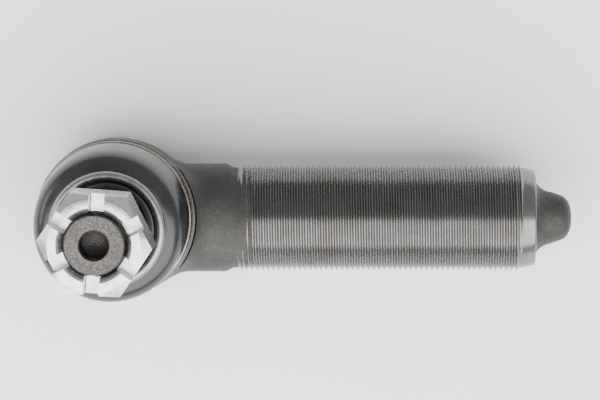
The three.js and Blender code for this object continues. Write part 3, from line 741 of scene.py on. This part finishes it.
def castle_nut(material):
    """Hexagon nut with a coned crown, a washer face, a countersunk bore and six slots."""
    bottom = NUT_TOP - NUT_HEIGHT
    flat = NUT_ACROSS_FLATS / 2
    corner = flat / math.cos(math.pi / 6)
    hexagon = [(corner * math.cos(i * math.pi / 3), corner * math.sin(i * math.pi / 3), 0.35)
               for i in range(6)]
    blank = prism("nut_blank", rounded(hexagon, 3), bottom, NUT_TOP)
    cone = [(0, bottom - 1), (flat - 0.5, bottom - 1), (flat - 0.5, bottom), (corner + 0.2, bottom + 1.0),
            (corner + 0.2, NUT_TOP - 2.0), (flat - 0.9, NUT_TOP, 0.5),
            (flat - 2.4, NUT_TOP + 0.25), (0, NUT_TOP + 1)]
    mesh = boolean("nut", blank, revolve("nut_cone", rounded(cone), 192, place=Matrix()), "INTERSECT")
    bore = [(0, bottom - 1), (9.8, bottom - 1), (9.8, bottom), (8.8, bottom + 1), (8.8, NUT_TOP - 1.5, 0.2),
            (10.3, NUT_TOP + 0.05, 0.2), (10.6, NUT_TOP + 1), (0, NUT_TOP + 1)]
    mesh = boolean("nut", mesh, revolve("nut_bore", rounded(bore), 128, place=Matrix()), "DIFFERENCE")
    for i in range(3):
        half = SLOT_WIDTH / 2
        floor = NUT_TOP - SLOT_DEPTH
        section = [(-half, floor, 0.5), (half, floor, 0.5), (half, NUT_TOP + 3), (-half, NUT_TOP + 3)]
        slots = prism("nut_slot", rounded(section, 3), -NUT_ACROSS_FLATS, NUT_ACROSS_FLATS)
        slots.transform(Matrix.Rotation(i * math.pi / 3, 4, "Z") @ Matrix.Rotation(math.pi / 2, 4, "X"))
        mesh = boolean("nut", mesh, slots, "DIFFERENCE")
    # The cuts leave an empty first slot, which would keep the nut's own material off its faces.
    mesh.materials.clear()
    mesh.transform(TO_STUD @ Matrix.Rotation(NUT_TURN, 4, "Z"))
    piece = add_object("nut_body", mesh, material, crease=25)
    bevel = piece.modifiers.new("edge_break", "BEVEL")
    bevel.width = 0.16 * MM
    bevel.segments = 2
    bevel.limit_method = "ANGLE"
    bevel.angle_limit = math.radians(25)
    bevel.harden_normals = True
    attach(piece, "nut")
    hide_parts("castle_nut")
    return piece


# ---------- Dust boot and its rings ----------


def boot_outline():
    bulge, middle = 21.4, 20
    inner = bulge - 2
    seat = CAP_RING_BOTTOM - 0.25
    lip = CAP_RING_INNER - 0.3
    stud_side = cone_radius(24.6) + 0.35
    outline = rounded([(18.9, 13), (18.9, BASE_RING_BOTTOM, 0.3), (20.6, BASE_RING_BOTTOM, 0.3),
                       (20.6, BASE_RING_TOP + 0.25, 0.15), (21.15, BASE_RING_TOP + 0.3, 0.25),
                       (21.4, 14)], closed=False)
    outline += bezier(outline[-1], (21.65, 15.6), (bulge, 17.6), (bulge, middle), 8)
    outline += bezier(outline[-1], (bulge, 23.6), (20.1, 25.9), (CAP_RING_OUTER + 0.5, seat - 0.1), 20)
    outline += rounded([(CAP_RING_OUTER + 0.5, seat - 0.1), (CAP_RING_OUTER, seat), (lip, seat, 0.1),
                        (lip, 28.35, 0.4), (stud_side, 28.35, 0.5), (stud_side, 24.7, 0.4),
                        (12.6, 24.4), (13, 24.4)], closed=False)[1:]
    outline += bezier(outline[-1], (CAP_RING_OUTER + 1.4, 24.2), (inner, 22.8), (inner, middle), 14)
    outline += bezier(outline[-1], (inner, 17.2), (19.4, 15), (18.95, 13.6), 8)
    return outline


def lean_with_stud(mesh, bend):
    """Leans an upright mesh: nothing below the bend, all of the stud's lean above it."""
    for vertex in mesh.vertices:
        share = float(smoothstep(vertex.co.z / MM, *bend))
        vertex.co = Matrix.Rotation(LEAN * share, 3, TILT_AXIS) @ vertex.co
    mesh.transform(TO_EYE)
    return mesh


def dust_boot(material):
    mesh = revolve("boot", boot_outline(), 160, place=Matrix())
    piece = add_object("boot_skin", lean_with_stud(mesh, BOOT_BEND), material, crease=50)
    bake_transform(piece)
    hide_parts("dust_boot")
    return piece


def base_ring(material):
    corners = [(BASE_RING_INNER, BASE_RING_BOTTOM, 0.15), (BASE_RING_OUTER, BASE_RING_BOTTOM, 0.3),
               (BASE_RING_OUTER, BASE_RING_TOP, 0.35), (BASE_RING_INNER, BASE_RING_TOP, 0.15)]
    piece = add_object("base_ring_strip", revolve("base_ring", rounded(corners, 5), 192), material, crease=60)
    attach(piece, "housing")
    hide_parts("boot_base_ring")
    return piece


def cap_ring(material):
    """Rolled ring: a flat foot on the boot and a rounded back."""
    middle = (CAP_RING_INNER + CAP_RING_OUTER) / 2
    half = (CAP_RING_OUTER - CAP_RING_INNER) / 2
    spring = CAP_RING_TOP - half
    outline = rounded([(middle, CAP_RING_BOTTOM), (CAP_RING_OUTER, CAP_RING_BOTTOM, 0.3),
                       (CAP_RING_OUTER, spring)], closed=False)
    outline += arc((middle, spring), half, 0, 180, 24)[1:]
    outline += rounded([(CAP_RING_INNER, spring), (CAP_RING_INNER, CAP_RING_BOTTOM, 0.3),
                        (middle, CAP_RING_BOTTOM)], closed=False)[1:-1]
    mesh = revolve("cap_ring", outline, 192, place=TO_STUD)
    piece = add_object("cap_ring_rolled", mesh, material, crease=60)
    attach(piece, "boot_cap")
    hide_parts("boot_cap_ring")
    return piece


# ---------- Below and inside the socket ----------


def closing_cover(material):
    """Cover disc with a shallow pressed dish inside its rolled-in edge."""
    floor = -BALL_HEIGHT
    outline = [(0, floor + 0.5), (9.2, floor + 0.5), (9.9, floor + 0.42), (11.2, floor + 0.06), (11.9, floor)]
    outline += [(17.6, floor), (18.05, floor + 0.12), (19.35, floor + 1.15), (19.4, floor + 1.3)]
    outline += [(19.4, floor + 2.25), (19.25, floor + 2.4), (0, floor + 2.4)]
    mesh = revolve("cover", outline, 192, closed=False)
    piece = add_object("cover_disc", mesh, material, crease=30)
    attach(piece, "housing")
    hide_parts("closing_cover")
    return piece


def seal_ring(material):
    centre = (18.2, 3.45 - BALL_HEIGHT)
    mesh = revolve("seal", arc(centre, 0.6, 0, 360, 20)[:-1], 160)
    piece = add_object("seal_o_ring", mesh, material, crease=80)
    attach(piece, "housing")
    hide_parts("cover_seal_ring")
    return piece


def disc_spring(material):
    low = 2.7 - BALL_HEIGHT
    high = 4.9 - BALL_HEIGHT
    corners = [(7.5, high - 1, 0.2), (15.5, low, 0.2), (15.5, low + 1, 0.2), (7.5, high, 0.2)]
    piece = add_object("spring_washer", revolve("spring", rounded(corners), 128), material, crease=50)
    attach(piece, "housing")
    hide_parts("preload_disc_spring")
    return piece


def ball_seats(material):
    """The two half seats, split just under the ball's middle."""
    socket = 15.3
    outer = 17.28
    angle_at = lambda height: math.degrees(math.asin(height / socket))
    hole = 6.8
    hole_angle = math.degrees(math.acos(hole / socket))
    lower = rounded([(hole, -16.4), (hole, -16.8, 0.2), (14.3, -16.8, 0.5), (outer, -12.8, 0.5),
                     (outer, -0.8, 0.3), (15.6, -0.8)], closed=False)
    lower += arc((0, 0), socket, angle_at(-0.8), -hole_angle, 24)
    upper = rounded([(15.6, -0.5), (outer, -0.5, 0.3), (outer, 3.1, 0.4), (14.4, 7.2, 0.2),
                     (13.6, 7.2)], closed=False)
    upper += arc((0, 0), socket, angle_at(7.2), angle_at(-0.5), 14)
    for name, node, outline in (("seat_lower_half", "lower_ball_seat", lower),
                                ("seat_upper_half", "upper_ball_seat", upper)):
        piece = add_object(name, revolve(name, outline, 128), material, crease=40)
        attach(piece, "housing")
        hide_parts(node)


# ---------- Stage, light and camera ----------


def floor_look():
    """Pale and matt from above; from below it lets the light and the view through."""
    look = Look("floor", (0.93, 0.93, 0.93), 0.9, 0.0)
    grain = look.noise(40, detail=2)
    look.feed("Base Color", look.ramp(grain, [(0.0, 0.925), (1.0, 0.935)]))
    clear = look.nodes.new("ShaderNodeBsdfTransparent")
    side = look.nodes.new("ShaderNodeNewGeometry")
    mix = look.nodes.new("ShaderNodeMixShader")
    look.links.new(side.outputs["Backfacing"], mix.inputs["Fac"])
    look.links.new(look.shader.outputs["BSDF"], mix.inputs[1])
    look.links.new(clear.outputs["BSDF"], mix.inputs[2])
    look.links.new(mix.outputs["Shader"], look.nodes["Material Output"].inputs["Surface"])
    return look.material


def stage():
    half = 1500
    corners = [(-half, -half, -0.1), (half, -half, -0.1), (half, half, -0.1), (-half, half, -0.1)]
    mesh = bpy.data.meshes.new("floor")
    mesh.from_pydata([Vector(c) * MM for c in corners], [], [(0, 1, 2, 3)])
    mesh.materials.append(floor_look())
    floor = bpy.data.objects.new("floor", mesh)
    bpy.context.scene.collection.objects.link(floor)


def softbox(name, place_mm, aim_mm, size_mm, watts, color=(1, 1, 1)):
    light = bpy.data.lights.new(name, "AREA")
    light.shape = "RECTANGLE"
    light.size, light.size_y = size_mm[0] * MM, size_mm[1] * MM
    light.energy = watts
    light.color = color
    lamp = bpy.data.objects.new(name, light)
    place, aim = Vector(place_mm) * MM, Vector(aim_mm) * MM
    lamp.location = place
    lamp.rotation_euler = (aim - place).to_track_quat("-Z", "Y").to_euler()
    bpy.context.scene.collection.objects.link(lamp)


def lights():
    softbox("front_box", (60, -590, 850), (60, 2, 95), (3000, 1300), 61)
    softbox("left_box", (-900, 150, 330), (0, 0, 30), (500, 260), 1.6)
    softbox("low_box", (-150, -420, 170), (0, 0, 40), (360, 320), 1.1)
    world = bpy.data.worlds.new("studio")
    world.use_nodes = True
    world.node_tree.nodes["Background"].inputs["Color"].default_value = (1, 1, 1, 1)
    world.node_tree.nodes["Background"].inputs["Strength"].default_value = 0.65
    bpy.context.scene.world = world


def camera():
    """Looks down from a metre above; the shank rises a little and the eye rolls a little."""
    ball_right, ball_up = -52.117, -4.919
    distance = 996
    lens = 210.18
    tilt, roll = math.radians(-1.0), math.radians(2.0)
    to_camera = Matrix.Rotation(roll, 3, "X") @ Matrix.Rotation(tilt, 3, "Y")
    data = bpy.data.cameras.new("camera")
    data.sensor_width = 36
    data.lens = lens
    data.clip_end = 20
    eye = bpy.data.objects.new("camera", data)
    back = to_camera.transposed()
    place = BALL - back @ Vector((ball_right, ball_up, -distance)) * MM
    eye.matrix_world = Matrix.Translation(place) @ back.to_4x4()
    bpy.context.scene.collection.objects.link(eye)
    bpy.context.scene.camera = eye


# ---------- The scene ----------

camera()
lights()
stage()
forged, machined = forged_look(), machined_look()
housing(forged, machined)
# The second stud material, at shade 0.6, is painted shade for the thread in the nut's gap and the centre
# hole.
stud(stud_look("stud_steel", 0.0), stud_look("stud_painted_shade", 0.6))
castle_nut(zinc_look("nut_zinc", (0.68, 0.705, 0.73), 0.26, (0.47, 0.49, 0.515)))
cap_ring(zinc_look("cap_ring_zinc", (0.3, 0.31, 0.315), 0.28, (0.22, 0.228, 0.235)))
base_ring(strip_look())
dust_boot(boot_look())
closing_cover(cover_look())
seal_ring(seal_look())
disc_spring(spring_look())
ball_seats(seat_look())
